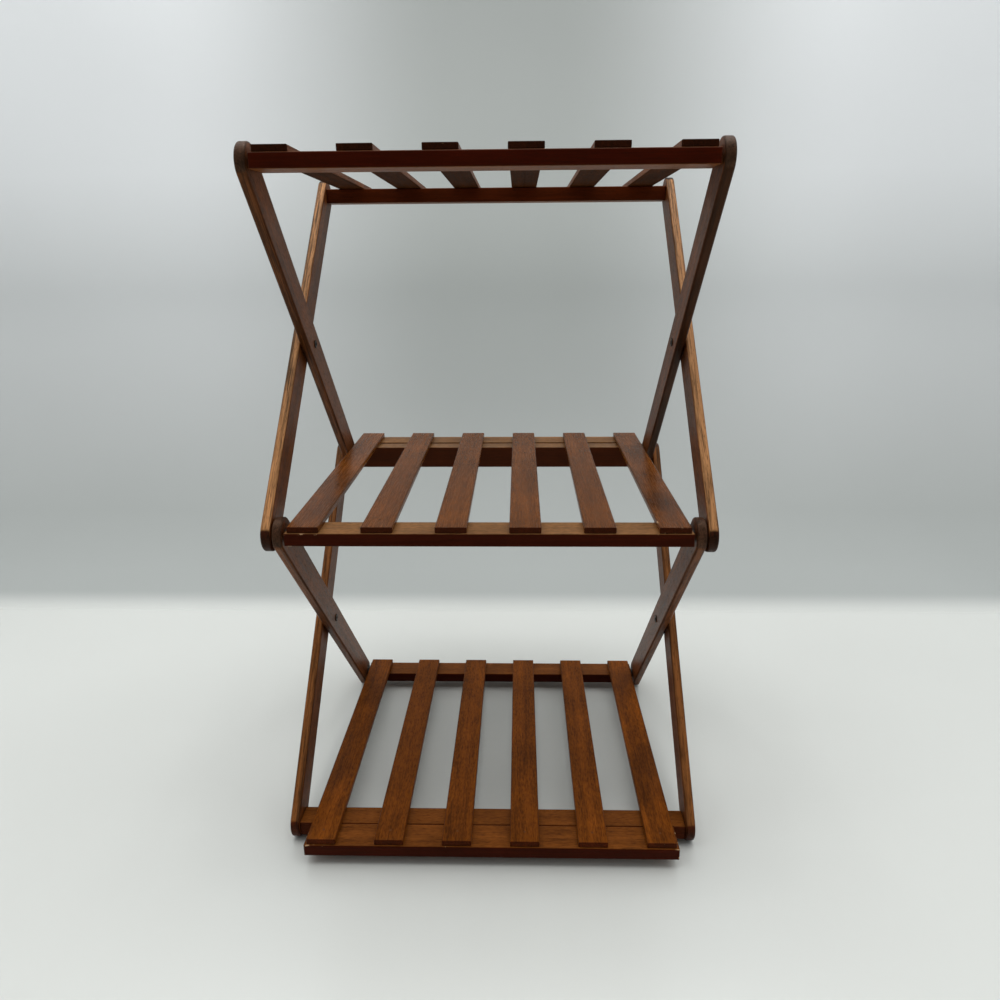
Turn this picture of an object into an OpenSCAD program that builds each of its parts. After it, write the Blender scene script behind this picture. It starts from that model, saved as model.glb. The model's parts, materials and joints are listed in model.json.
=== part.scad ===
// Folding three-tier ladder stand of stained wood.
// Four pairs of legs make two crossed frames, one above the other. Three slatted shelves turn on
// rails at one side of the frame and hook over cross bars at the other side, which stops the
// crossed legs from spreading. +X is to the right, +Y to the rear and +Z up, with the origin on
// the floor under the middle of the stand.

/* [Frame] */
// Width over the outer faces of the outer legs
frame_w = 400; // [300:1:600]
// Distance between the two end pivots of a leg
leg_span = 425; // [380:1:560]
// Distance from the front pivots to the rear pivots when open
open_depth = 295; // [200:1:360]

/* [Legs] */
// Width of a leg, and of its round ends
leg_w = 31; // [26:0.5:40]
// Thickness of a leg
leg_t = 9; // [7:0.5:14]
// Rounding of the long edges and round ends of a leg
leg_edge_r = 2; // [0.5:0.25:3]
// Thickness of the washers between two legs
washer_t = 1; // [0.5:0.25:2]

/* [Rails and bars] */
// Width of a shelf rail, front to rear
rail_w = 31; // [22:1:36]
// Height of a shelf rail
rail_t = 12; // [9:0.5:18]
// Width of a cross bar, front to rear
bar_w = 24; // [16:1:28]
// Height of the top and bottom cross bars
bar_t = 15; // [10:0.5:20]
// Height of the middle cross bar
middle_bar_t = 25; // [18:0.5:30]
// Height of the top of the middle cross bar above its pivot
middle_bar_rise = 13; // [7:0.5:14]
// Rounding of the long edges of rails and bars
rail_edge_r = 1.25; // [0.5:0.25:2.5]
// Rounding of the corners of rails and bars, seen from above
rail_corner_r = 1; // [0.25:0.25:3]
// Rounding of the upper and lower edges at the ends of rails, bars and slats
end_edge_r = 0.75; // [0.25:0.25:1.5]
// Thickness of the spacers between a leg and a shelf rail
spacer_t = 2; // [0.5:0.25:3]
// Radius of those spacers, which stay within the height of a rail
spacer_r = 5; // [3.5:0.25:6]

/* [Slats] */
// Width of a slat
slat_w = 28; // [14:1:34]
// Thickness of a slat
slat_t = 5.5; // [4:0.5:9]
// Rounding of the long edges of a slat
slat_edge_r = 1; // [0.25:0.25:1.75]
// Rounding of a slat's corners, seen from above
slat_corner_r = 1.5; // [0.5:0.25:4]
// Distance from the end of a rail to its outermost slat
slat_inset = 2.5; // [0:0.5:20]
// Distance from the outer face of a rail to the end of a slat
slat_setback = 1.5; // [0:0.5:4]

/* [Screws, rivets and brads] */
// Radius of a screw's shank
screw_r = 2.25; // [1.5:0.05:3]
// Radius of a screw's countersunk head
screw_head_r = 4.5; // [3.5:0.1:6]
// Length of screw in the end of a rail or bar
screw_grip = 32; // [20:1:50]
// Radius of a rivet's shank
rivet_r = 3; // [2:0.1:4]
// Radius of a rivet's domed head and rolled end
rivet_head_r = 4.2; // [4.1:0.1:6]
// Radius of a washer
washer_r = 8; // [6.5:0.5:10]
// Radius of a brad
brad_r = 0.7; // [0.4:0.05:1]
// Length of a brad
brad_l = 14; // [10:0.5:16]
// Distance of the brads in a pivot rail from the pivot, which clears its screws
brad_offset = 6; // [4.5:0.5:9]

/* [Clearances] */
// Radial clearance of a screw or rivet in its hole
pin_clearance = 0.05; // [0.02:0.01:0.1]
// Radial clearance of a screw's head at the rim of its countersink
head_clearance = 0.15; // [0.05:0.05:0.3]
// Radial clearance of the rear pivot screws in the lower outer legs
rear_pivot_clearance = 0.3; // [0.1:0.05:0.5]
// Gap between a cross bar and the shelf parts that seat on its rounded edges
seat_gap = 0.3; // [0.2:0.05:1]
// Side play of a shelf between the legs that carry it
side_play = 0.05; // [0.02:0.01:0.2]

/* [Hidden] */
$fn = 64;
slat_count = 6;
brad_sink = 0.4;

// Frame lines: half the depth, the lean of a leg and the heights of the three pivot levels
half_depth = open_depth / 2;
rise = sqrt(leg_span * leg_span - open_depth * open_depth);
lean = asin(open_depth / leg_span);
bottom_z = leg_w / 2;
middle_z = bottom_z + rise;
top_z = middle_z + rise;

// Distances from the middle plane of the stand to the faces of the two layers of legs
outer_face_x = frame_w / 2;
outer_inner_face_x = outer_face_x - leg_t;
inner_outer_face_x = outer_inner_face_x - washer_t;
inner_face_x = inner_outer_face_x - leg_t;
rail_l = 2 * (inner_face_x - spacer_t);
layers_t = outer_face_x - inner_face_x;

// Shelf lines, measured from the pivot of the shelf towards its hook rail
hook_start = open_depth + bar_w / 2 + seat_gap;
hook_mid = hook_start + rail_w / 2;
hook_end = hook_start + rail_w;
slat_start = -rail_w / 2 + slat_setback;
slat_l = hook_end - slat_setback - slat_start;
slat_pitch = (rail_l - 2 * slat_inset - slat_w) / (slat_count - 1);

// Tilt of the middle shelf, whose slats lie on the front edge of the taller middle bar
edge_y = open_depth - bar_w / 2 + rail_edge_r;
edge_z = middle_bar_rise - rail_edge_r;
slat_drop = rail_t / 2 - rail_edge_r - seat_gap;
middle_tilt = atan2(edge_z, edge_y) - asin(slat_drop / norm([edge_y, edge_z]));

screw_head_h = screw_head_r - screw_r;
screw_tip_h = 4;
head_recess = 0.2;
rivet_dome_h = 1.3;
rivet_roll_h = 1;
rivet_hole_r = 1.7;
rivet_hole_depth = 7;
overcut = 1;

leg_brown = "#7c4a2b";
rail_brown = "#4a2413";
slat_brown = "#6f3f22";
brass = "#7d6a45";
steel = "#8c8880";
zinc = "#b5b3ad";
nylon = "#1f1d1c";

// ---- Placing ----

// Both sides of the stand: the right side as drawn and its mirror image on the left
module both_sides() {
    children();
    mirror([1, 0, 0]) children();
}

// One side of the stand, -1 for the left and 1 for the right
module on_side(side) {
    if (side < 0) mirror([1, 0, 0]) children();
    else children();
}

module at_pivot(y, z) {
    translate([0, y, z]) children();
}

// The three shelves: each is drawn from its pivot towards +Y. The bottom one turns the other way.
module bottom_place() {
    at_pivot(half_depth, bottom_z) mirror([0, 1, 0]) children();
}

module middle_place() {
    at_pivot(-half_depth, middle_z) rotate([middle_tilt, 0, 0]) children();
}

module top_place() {
    at_pivot(-half_depth, top_z) children();
}

// ---- Shapes that repeat ----

// Rectangle with round corners, centred
module eased_rect(w, h, r) {
    square([w - 2 * r, h], center = true);
    square([w, h - 2 * r], center = true);
    for (x = [-1, 1], y = [-1, 1])
        translate([x * (w / 2 - r), y * (h / 2 - r)]) circle(r);
}

// Half of the section of a leg, from its centre line to its edge
module half_leg_section() {
    translate([0, -leg_t / 2]) square([leg_w / 2 - leg_edge_r, leg_t]);
    translate([0, -leg_t / 2 + leg_edge_r]) square([leg_w / 2, leg_t - 2 * leg_edge_r]);
    for (y = [-1, 1])
        translate([leg_w / 2 - leg_edge_r, y * (leg_t / 2 - leg_edge_r)]) circle(leg_edge_r);
}

// Leg without holes: it stands on the pivot of its lower end, with its thickness along X
module leg_blank() {
    linear_extrude(leg_span) eased_rect(leg_t, leg_w, leg_edge_r);
    for (end = [0, 1])
        translate([0, 0, end * leg_span])
            rotate([0, 90 - 180 * end, 0])
                rotate([0, 0, -90]) rotate_extrude(angle = 180) half_leg_section();
}

// Hole along X through one leg, at a distance along it
module leg_hole(along, radius) {
    translate([-leg_t / 2 - overcut, 0, along])
        rotate([0, 90, 0]) cylinder(h = leg_t + 2 * overcut, r = radius);
}

// Countersink in the outer face of a leg, with room for a screw's head a little below that face
module leg_countersink(along) {
    rim_r = screw_head_r + head_recess + head_clearance;
    translate([leg_t / 2, 0, along]) rotate([0, -90, 0]) {
        cylinder(h = screw_head_h + head_recess, r1 = rim_r, r2 = screw_r + pin_clearance);
        translate([0, 0, -overcut]) cylinder(h = overcut, r = rim_r);
    }
}

// Leg in the outer layer, leaning to the rear, or in the inner layer, leaning to the front
module outer_leg(side, z) {
    on_side(side) translate([outer_face_x - leg_t / 2, -half_depth, z])
        rotate([-lean, 0, 0]) children();
}

module inner_leg(side, z) {
    on_side(side) translate([inner_face_x + leg_t / 2, half_depth, z])
        rotate([lean, 0, 0]) children();
}

// Board along X, centred, with its width along Y. It is what three outlines have in common, each
// drawn past the others: its section, its shape from above and its shape from the side.
module board(length, w, t, edge_r, corner_r) {
    intersection() {
        rotate([90, 0, 90]) linear_extrude(length + 2 * overcut, center = true)
            eased_rect(w, t, edge_r);
        linear_extrude(t + 2 * overcut, center = true) eased_rect(length, w, corner_r);
        rotate([90, 0, 0]) linear_extrude(w + 2 * overcut, center = true)
            eased_rect(length, t, end_edge_r);
    }
}

module rail_board(length, w, t) {
    board(length, w, t, rail_edge_r, rail_corner_r);
}

// Pilot holes for a screw in both ends of a board of this length
module end_pilots(length) {
    both_sides() translate([length / 2 + overcut, 0, 0]) rotate([0, -90, 0])
        cylinder(h = screw_grip + overcut, r = screw_r + pin_clearance);
}

// Countersunk screw that enters the outer face at face_x and ends in a board's end at board_x
module end_screw(face_x, board_x) {
    length = face_x - board_x + screw_grip - overcut;
    translate([face_x - head_recess, 0, 0]) rotate([0, -90, 0]) difference() {
        union() {
            cylinder(h = screw_head_h, r1 = screw_head_r, r2 = screw_r);
            cylinder(h = length - screw_tip_h, r = screw_r);
            translate([0, 0, length - screw_tip_h])
                cylinder(h = screw_tip_h, r1 = screw_r, r2 = screw_r / 3);
        }
        cross_recess();
    }
}

// Cross-shaped recess in the head of a screw
module cross_recess() {
    slot_l = screw_head_r * 1.1;
    slot_w = screw_head_r * 0.22;
    for (turn = [45, 135])
        rotate(turn) translate([-slot_l / 2, -slot_w / 2, -overcut])
            cube([slot_l, slot_w, overcut + screw_head_h / 2]);
}

// Flat ring along X, from x to x + t
module ring(x, t, r, hole_r) {
    translate([x, 0, 0]) rotate([0, 90, 0]) difference() {
        cylinder(h = t, r = r);
        translate([0, 0, -overcut]) cylinder(h = t + 2 * overcut, r = hole_r);
    }
}

// Tubular rivet through both layers of legs: domed head outside, rolled end inside
module crossing_rivet() {
    roll_z = layers_t + pin_clearance;
    dome_r = (rivet_head_r * rivet_head_r + rivet_dome_h * rivet_dome_h) / (2 * rivet_dome_h);
    translate([outer_face_x, 0, 0]) rotate([0, -90, 0]) difference() {
        union() {
            rotate_extrude() intersection() {
                translate([0, dome_r - rivet_dome_h]) circle(dome_r, $fn = 128);
                translate([0, -rivet_dome_h]) square([rivet_head_r, rivet_dome_h]);
            }
            cylinder(h = roll_z + rivet_roll_h / 2, r = rivet_r);
            translate([0, 0, roll_z]) rotate_extrude() {
                square([rivet_head_r - rivet_roll_h / 2, rivet_roll_h]);
                translate([rivet_head_r - rivet_roll_h / 2, rivet_roll_h / 2])
                    circle(rivet_roll_h / 2);
            }
        }
        translate([0, 0, roll_z + rivet_roll_h - rivet_hole_depth])
            cylinder(h = rivet_hole_depth + overcut, r = rivet_hole_r);
    }
}

// ---- Legs ----

module lower_inner_leg(side) {
    color(leg_brown) inner_leg(side, bottom_z) difference() {
        leg_blank();
        leg_hole(0, screw_r + pin_clearance);
        leg_hole(leg_span / 2, rivet_r + pin_clearance);
        leg_hole(leg_span, screw_r + pin_clearance);
        leg_countersink(0);
    }
}

module upper_inner_leg(side) {
    color(leg_brown) inner_leg(side, middle_z) difference() {
        leg_blank();
        leg_hole(0, screw_r + pin_clearance);
        leg_hole(leg_span / 2, rivet_r + pin_clearance);
        leg_hole(leg_span, screw_r + pin_clearance);
        leg_countersink(leg_span);
    }
}

module lower_outer_leg(side) {
    color(leg_brown) outer_leg(side, bottom_z) difference() {
        leg_blank();
        leg_hole(0, screw_r + pin_clearance);
        leg_hole(leg_span / 2, rivet_r + pin_clearance);
        leg_hole(leg_span, screw_r + rear_pivot_clearance);
        leg_countersink(0);
        leg_countersink(leg_span);
    }
}

module upper_outer_leg(side) {
    color(leg_brown) outer_leg(side, middle_z) difference() {
        leg_blank();
        leg_hole(0, screw_r + pin_clearance);
        leg_hole(leg_span / 2, rivet_r + pin_clearance);
        leg_hole(leg_span, screw_r + pin_clearance);
        leg_countersink(0);
        leg_countersink(leg_span);
    }
}

// ---- Cross bars ----

// Cross bar whose top lies at a height above the pivot, with pilot holes on the pivot's axis
module cross_bar(length, t, top) {
    color(rail_brown) difference() {
        translate([0, 0, top - t / 2]) rail_board(length, bar_w, t);
        end_pilots(length);
    }
}

module bottom_front_bar() {
    at_pivot(-half_depth, bottom_z) cross_bar(2 * outer_inner_face_x, bar_t, rail_t / 2);
}

module middle_rear_bar() {
    at_pivot(half_depth, middle_z) cross_bar(2 * inner_face_x, middle_bar_t, middle_bar_rise);
}

module top_rear_bar() {
    at_pivot(half_depth, top_z) cross_bar(2 * outer_inner_face_x, bar_t, rail_t / 2);
}

// ---- Screws, rivets and washers of the frame ----

module bottom_bar_screws() {
    color(zinc) at_pivot(-half_depth, bottom_z)
        both_sides() end_screw(outer_face_x, outer_inner_face_x);
}

module top_bar_screws() {
    color(zinc) at_pivot(half_depth, top_z)
        both_sides() end_screw(outer_face_x, outer_inner_face_x);
}

module rear_pivot_screws() {
    color(zinc) at_pivot(half_depth, middle_z)
        both_sides() end_screw(outer_face_x, inner_face_x);
}

module lower_crossing_rivets() {
    color(brass) at_pivot(0, bottom_z + rise / 2) both_sides() crossing_rivet();
}

module upper_crossing_rivets() {
    color(brass) at_pivot(0, middle_z + rise / 2) both_sides() crossing_rivet();
}

module layer_washers(y, z, hole_r) {
    color(steel) at_pivot(y, z) both_sides() ring(inner_outer_face_x, washer_t, washer_r, hole_r);
}

// ---- Shelves, drawn from the shelf's pivot towards +Y ----

// Places of the two rows of brads, front to rear, and of the slats, side to side
function brad_rows() = [brad_offset, hook_mid];
function slat_x(index) = (index - (slat_count + 1) / 2) * slat_pitch;

// Holes for the brads under every slat
module brad_holes(row) {
    for (index = [1 : slat_count])
        translate([slat_x(index), row, rail_t / 2 + slat_t - brad_sink - brad_l])
            cylinder(h = brad_l + brad_sink + overcut, r = brad_r + pin_clearance, $fn = 24);
}

module pivot_rail() {
    color(rail_brown) difference() {
        rail_board(rail_l, rail_w, rail_t);
        end_pilots(rail_l);
        brad_holes(brad_rows()[0]);
    }
}

module hook_rail() {
    color(rail_brown) difference() {
        translate([0, hook_mid, 0]) rail_board(rail_l, rail_w, rail_t);
        brad_holes(brad_rows()[1]);
    }
}

module slat(index) {
    color(slat_brown) translate([slat_x(index), 0, 0]) difference() {
        translate([0, slat_start + slat_l / 2, rail_t / 2 + slat_t / 2]) rotate(90)
            board(slat_l, slat_w, slat_t, slat_edge_r, slat_corner_r);
        for (row = brad_rows()) translate([0, row, 0])
            cylinder(h = rail_t + slat_t, r = brad_r + pin_clearance, $fn = 24);
    }
}

module brads() {
    color(steel) for (index = [1 : slat_count], row = brad_rows())
        translate([slat_x(index), row, rail_t / 2 + slat_t - brad_sink - brad_l])
            cylinder(h = brad_l, r = brad_r, $fn = 24);
}

// Pivot screws of a shelf, through legs whose outermost face is at face_x
module pivot_screws(face_x) {
    color(zinc) both_sides() end_screw(face_x, rail_l / 2);
}

module pivot_spacers() {
    color(nylon) both_sides()
        ring(rail_l / 2, spacer_t - side_play, spacer_r, screw_r + pin_clearance);
}

// ---- Nodes ----

lower_inner_leg(-1);  // lower_inner_leg_left
lower_inner_leg(1);  // lower_inner_leg_right
lower_outer_leg(-1);  // lower_outer_leg_left
lower_outer_leg(1);  // lower_outer_leg_right
upper_outer_leg(-1);  // upper_outer_leg_left
upper_outer_leg(1);  // upper_outer_leg_right
upper_inner_leg(-1);  // upper_inner_leg_left
upper_inner_leg(1);  // upper_inner_leg_right

bottom_front_bar();
middle_rear_bar();
top_rear_bar();
bottom_bar_screws();
top_bar_screws();
rear_pivot_screws();

lower_crossing_rivets();
upper_crossing_rivets();
layer_washers(0, bottom_z + rise / 2, rivet_r + pin_clearance);  // lower_crossing_washers
layer_washers(0, middle_z + rise / 2, rivet_r + pin_clearance);  // upper_crossing_washers
layer_washers(-half_depth, middle_z, screw_r + pin_clearance);  // front_pivot_washers
layer_washers(half_depth, middle_z, screw_r + pin_clearance);  // rear_pivot_washers

bottom_place() pivot_rail();  // bottom_pivot_rail
bottom_place() hook_rail();  // bottom_hook_rail
bottom_place() slat(1);  // bottom_slat_1
bottom_place() slat(2);  // bottom_slat_2
bottom_place() slat(3);  // bottom_slat_3
bottom_place() slat(4);  // bottom_slat_4
bottom_place() slat(5);  // bottom_slat_5
bottom_place() slat(6);  // bottom_slat_6
bottom_place() brads();  // bottom_brads
bottom_place() pivot_screws(inner_outer_face_x);  // bottom_pivot_screws
bottom_place() pivot_spacers();  // bottom_pivot_spacers

middle_place() pivot_rail();  // middle_pivot_rail
middle_place() hook_rail();  // middle_hook_rail
middle_place() slat(1);  // middle_slat_1
middle_place() slat(2);  // middle_slat_2
middle_place() slat(3);  // middle_slat_3
middle_place() slat(4);  // middle_slat_4
middle_place() slat(5);  // middle_slat_5
middle_place() slat(6);  // middle_slat_6
middle_place() brads();  // middle_brads
middle_place() pivot_screws(outer_face_x);  // middle_pivot_screws
middle_place() pivot_spacers();  // middle_pivot_spacers

top_place() pivot_rail();  // top_pivot_rail
top_place() hook_rail();  // top_hook_rail
top_place() slat(1);  // top_slat_1
top_place() slat(2);  // top_slat_2
top_place() slat(3);  // top_slat_3
top_place() slat(4);  // top_slat_4
top_place() slat(5);  // top_slat_5
top_place() slat(6);  // top_slat_6
top_place() brads();  // top_brads
top_place() pivot_screws(inner_outer_face_x);  // top_pivot_screws
top_place() pivot_spacers();  // top_pivot_spacers
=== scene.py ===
"""Looks of a folding ladder stand: stained wood, its small metal and nylon fittings, studio and camera."""
import json
import math

import bmesh
import bpy
from mathutils import Matrix, Vector


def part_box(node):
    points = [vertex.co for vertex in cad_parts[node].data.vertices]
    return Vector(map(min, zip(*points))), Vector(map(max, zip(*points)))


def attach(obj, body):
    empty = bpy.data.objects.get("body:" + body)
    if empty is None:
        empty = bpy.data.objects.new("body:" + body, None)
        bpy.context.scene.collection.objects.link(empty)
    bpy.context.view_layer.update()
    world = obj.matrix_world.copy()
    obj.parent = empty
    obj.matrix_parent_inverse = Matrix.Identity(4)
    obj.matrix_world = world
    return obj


bl_info = {
    "name": "Folding Ladder Stand",
    "version": (1, 0, 0),
    "blender": (4, 5, 0),
    "location": "View3D > Sidebar > Ladder Stand",
    "description": "Finishes the wood and fittings of a folding ladder stand and lights it",
    "category": "Object",
}

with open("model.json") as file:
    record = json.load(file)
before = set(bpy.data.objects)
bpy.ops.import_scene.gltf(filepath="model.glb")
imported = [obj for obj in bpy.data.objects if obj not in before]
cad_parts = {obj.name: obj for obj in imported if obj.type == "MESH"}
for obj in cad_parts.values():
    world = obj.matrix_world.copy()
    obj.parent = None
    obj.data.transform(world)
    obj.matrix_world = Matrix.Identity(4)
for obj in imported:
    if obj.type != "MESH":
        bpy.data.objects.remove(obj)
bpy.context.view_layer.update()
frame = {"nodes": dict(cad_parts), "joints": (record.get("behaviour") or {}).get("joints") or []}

MM = 0.001
SHELVES = ("bottom", "middle", "top")
SIDES = ("left", "right")
SLATS = range(1, 7)
JOINTS = {joint["name"]: Vector(joint["pos_m"]) for joint in frame["joints"]}
# For a Map Range node that eases in and out
SMOOTH = {"interpolation_type": "SMOOTHSTEP"}


# ---- Colours, nodes and materials ----

def linear(hex_code):
    """Turns an sRGB hex colour to the linear values that shaders take."""
    parts = [int(hex_code[i:i + 2], 16) / 255 for i in (1, 3, 5)]
    return [c / 12.92 if c <= 0.04045 else ((c + 0.055) / 1.055) ** 2.4 for c in parts] + [1.0]


def add(tree, kind, inputs=None, **settings):
    """Adds a node with its settings. An input is a value, a socket, or a node, whose first output in use is
    linked."""
    node = tree.nodes.new(kind)
    for name, value in settings.items():
        setattr(node, name, value)
    for key, value in (inputs or {}).items():
        if isinstance(value, bpy.types.Node):
            value = next(socket for socket in value.outputs if socket.enabled)
        if isinstance(value, bpy.types.NodeSocket):
            tree.links.new(value, node.inputs[key])
        else:
            node.inputs[key].default_value = value
    return node


def new_material(name):
    """Returns an empty node material, its tree, and its output node."""
    material = bpy.data.materials.new(name)
    material.use_nodes = True
    tree = material.node_tree
    tree.nodes.clear()
    return material, tree, tree.nodes.new("ShaderNodeOutputMaterial")


def give(piece, material):
    """Gives a piece one material all over."""
    piece.data.materials.clear()
    piece.data.materials.append(material)


# ---- Boards: where each one lies, which way its grain runs, and its size ----

class Board:
    """A board's middle, its axes (along the grain, across its width, through it) and its half sizes."""

    def __init__(self, node, along, across, half, round_ends=False):
        low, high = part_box(node)
        self.node = node
        self.middle = (low + high) / 2
        self.along = Vector(along)
        self.across = Vector(across)
        self.through = self.along.cross(self.across)
        self.half = half
        self.round_ends = round_ends
        axes = Matrix((self.along, self.across, self.through)).transposed()
        self.turn = axes.to_euler()


def half_size(node):
    """Half of each side of a node's box."""
    low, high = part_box(node)
    return (high - low) / 2


def shelf_tilt(shelf):
    """Angle of a shelf to the floor, from how high its slats' boxes are beside a level slat's."""
    level = half_size("top_slat_1")
    return math.asin((half_size(f"{shelf}_slat_1").z - level.z) / level.y)


def slat_board(shelf, index):
    """A slat from front to rear, tilted with its shelf. It takes its size from a level one."""
    tilt = shelf_tilt(shelf)
    level = half_size("top_slat_1")
    along = (0, math.cos(tilt), math.sin(tilt))
    return Board(f"{shelf}_slat_{index}", along, (-1, 0, 0), (level.y, level.x, level.z))


def cross_board(node, tilt=0.0, like=None):
    """A rail or bar across the stand. A tilted one takes its size from a level one like it."""
    size = half_size(like or node)
    return Board(node, (1, 0, 0), (0, math.cos(tilt), math.sin(tilt)), tuple(size))


def leg_board(stage, layer, side):
    """A leg of the outer layer leans to the rear, and one of the inner layer to the front."""
    node = f"{stage}_{layer}_leg_{side}"
    half_rise = JOINTS["middle_shelf_lift"] - JOINTS["fold"]
    sign = 1 if layer == "outer" else -1
    along = Vector((0, -sign * half_rise.y, half_rise.z)).normalized()
    size = half_size(node)
    leg_radius = JOINTS["bottom_shelf_lift"].z
    half = (half_rise.length + leg_radius, leg_radius, size.x)
    across = Vector((1, 0, 0)).cross(along)
    return Board(node, along, across, half, round_ends=True)


LEGS = [leg_board(stage, layer, side)
        for stage in ("lower", "upper") for layer in ("inner", "outer") for side in SIDES]
BARS = [cross_board(node) for node in ("bottom_front_bar", "middle_rear_bar", "top_rear_bar")]
RAILS = [cross_board(f"{shelf}_{kind}_rail", shelf_tilt(shelf), "top_pivot_rail")
         for shelf in SHELVES for kind in ("pivot", "hook")]
SLAT_BOARDS = [slat_board(shelf, index) for shelf in SHELVES for index in SLATS]


# ---- Stained wood ----

# How much of each mark the fine grain of a face is mixed from
FINE_GRAIN = (("streaks", 0.3), ("fibres", 0.3), ("flecks", 0.28), ("figure", 0.12))
# No two boards take the stain alike: each is up to a tenth paler or darker, by a sine of its seed
TONE_SPREAD = 0.1
TONE_SHUFFLE = 12.9898


class Grain:
    """Nodes that a board's colour, gloss and relief are mixed from."""


def board_place(tree, board):
    """Object coordinates in the board's own axes, how much the surface faces along each axis, and how much
    it faces down."""
    coordinates = add(tree, "ShaderNodeTexCoord")
    place = add(tree, "ShaderNodeMapping", {
        "Vector": coordinates.outputs["Object"],
        "Location": board.middle,
        "Rotation": board.turn,
    }, vector_type="TEXTURE")
    facing = []
    for axis in (board.along, board.across, board.through):
        dot = add(tree, "ShaderNodeVectorMath", {0: coordinates.outputs["Normal"], 1: axis},
                  operation="DOT_PRODUCT")
        facing.append(add(tree, "ShaderNodeMath", {0: dot}, operation="ABSOLUTE"))
    down = add(tree, "ShaderNodeVectorMath", {0: coordinates.outputs["Normal"], 1: (0.0, 0.0, -1.0)},
               operation="DOT_PRODUCT")
    return place, facing, down


def edge_distance(tree, board, place):
    """Distance from the nearest edge of the board, in metres, over its faces."""
    parts = add(tree, "ShaderNodeSeparateXYZ", {0: place})
    lengths = [add(tree, "ShaderNodeMath", {0: parts.outputs[i]}, operation="ABSOLUTE") for i in range(3)]
    if board.round_ends:
        straight = board.half[0] - board.half[1]
        beyond = add(tree, "ShaderNodeMath", {0: lengths[0], 1: straight}, operation="SUBTRACT")
        beyond = add(tree, "ShaderNodeMath", {0: beyond, 1: 0.0}, operation="MAXIMUM")
        corner = add(tree, "ShaderNodeCombineXYZ", {0: beyond, 1: lengths[1], 2: 0.0})
        radius = add(tree, "ShaderNodeVectorMath", {0: corner}, operation="LENGTH")
        rim = add(tree, "ShaderNodeMath", {0: board.half[1], 1: radius}, operation="SUBTRACT")
        face = add(tree, "ShaderNodeMath", {0: board.half[2], 1: lengths[2]}, operation="SUBTRACT")
        return add(tree, "ShaderNodeMath", {0: rim, 1: face}, operation="MAXIMUM")
    a, b, c = [add(tree, "ShaderNodeMath", {0: board.half[i], 1: lengths[i]}, operation="SUBTRACT")
               for i in range(3)]
    least = add(tree, "ShaderNodeMath", {0: a, 1: b}, operation="MINIMUM")
    most = add(tree, "ShaderNodeMath", {0: a, 1: b}, operation="MAXIMUM")
    second = add(tree, "ShaderNodeMath", {0: most, 1: c}, operation="MINIMUM")
    return add(tree, "ShaderNodeMath", {0: least, 1: second}, operation="MAXIMUM")


def pattern(tree, place, seed, length, width, detail=2.0, roughness=0.5):
    """Noise whose marks are about this long along the grain and this wide across it, in metres."""
    mapped = add(tree, "ShaderNodeMapping", {
        "Vector": place,
        "Location": (seed * 3.7, seed * 1.9 + 5.0, seed * 2.3),
        "Scale": (1 / length, 1 / width, 1 / width),
    })
    return add(tree, "ShaderNodeTexNoise", {
        "Vector": mapped, "Scale": 1.0, "Detail": detail, "Roughness": roughness})


def wood_grain(tree, board, seed, finish):
    """The marks of rubberwood under stain, each a node whose value is from 0 to 1. A number added to the
    seed starts each mark elsewhere in the noise."""
    grain = Grain()
    place, (end, edge, _), down = board_place(tree, board)
    distance = edge_distance(tree, board, place)
    # How much the surface faces down: it sets the painted shade and the duller lacquer under a board
    grain.below = add(tree, "ShaderNodeMapRange", {0: down.outputs["Value"], 1: 0.5, 2: 0.9}, **SMOOTH)
    length = add(tree, "ShaderNodeMath", {0: add(tree, "ShaderNodeSeparateXYZ", {0: place})},
                 operation="ABSOLUTE")
    grain.off_middle = add(tree, "ShaderNodeMath", {0: length, 1: board.half[0]}, operation="DIVIDE")
    grain.end = add(tree, "ShaderNodeMapRange", {0: end, 1: 0.12, 2: 0.3}, **SMOOTH)
    grain.edge = add(tree, "ShaderNodeMapRange", {0: edge, 1: 0.45, 2: 0.8}, **SMOOTH)
    grain.arris = add(tree, "ShaderNodeMapRange", {
        0: distance, 1: 0.3 * MM, 2: 1.5 * MM, 3: 1.0, 4: 0.0}, **SMOOTH)
    grain.streaks = pattern(tree, place, seed, 260 * MM, 7 * MM, 4.0, 0.6)
    # Real fibres are about 0.3 mm wide, which is under a pixel, so they are drawn 0.9 mm wide
    grain.fibres = pattern(tree, place, seed + 11, 22 * MM, 0.9 * MM, 2.0)
    # Flecks of the rays, which are about 0.5 mm wide on the real wood and are drawn 1.6 mm wide
    grain.flecks = pattern(tree, place, seed + 17, 6 * MM, 1.6 * MM, 1.0)
    # Lines that the saw left along an edge, about 1.5 mm apart
    grain.sawn = pattern(tree, place, seed + 53, 32 * MM, 1.5 * MM, 4.0, 0.65)
    grain.figure = pattern(tree, place, seed + 23, 22 * MM, 70 * MM, 2.0)
    grain.blotches = pattern(tree, place, seed + 31, 70 * MM, 28 * MM, 2.0)
    grain.wear = pattern(tree, place, seed + 43, 7 * MM, 3.5 * MM, 3.0, 0.6)
    # Open pores, cut along as short dark dashes and across as dots, drawn about twice as wide as real ones
    cells = add(tree, "ShaderNodeMapping", {
        "Vector": place,
        "Location": (seed * 2.1, seed * 4.3, seed * 1.7),
        "Scale": (1 / finish.pore_length, 1 / finish.pore_pitch, 1 / finish.pore_pitch),
    })
    nearest = add(tree, "ShaderNodeTexVoronoi", {"Vector": cells, "Scale": 1.0})
    grain.pores = add(tree, "ShaderNodeMapRange", {0: nearest, 1: 0.12, 2: 0.3, 3: 1.0, 4: 0.0})
    return grain


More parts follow.
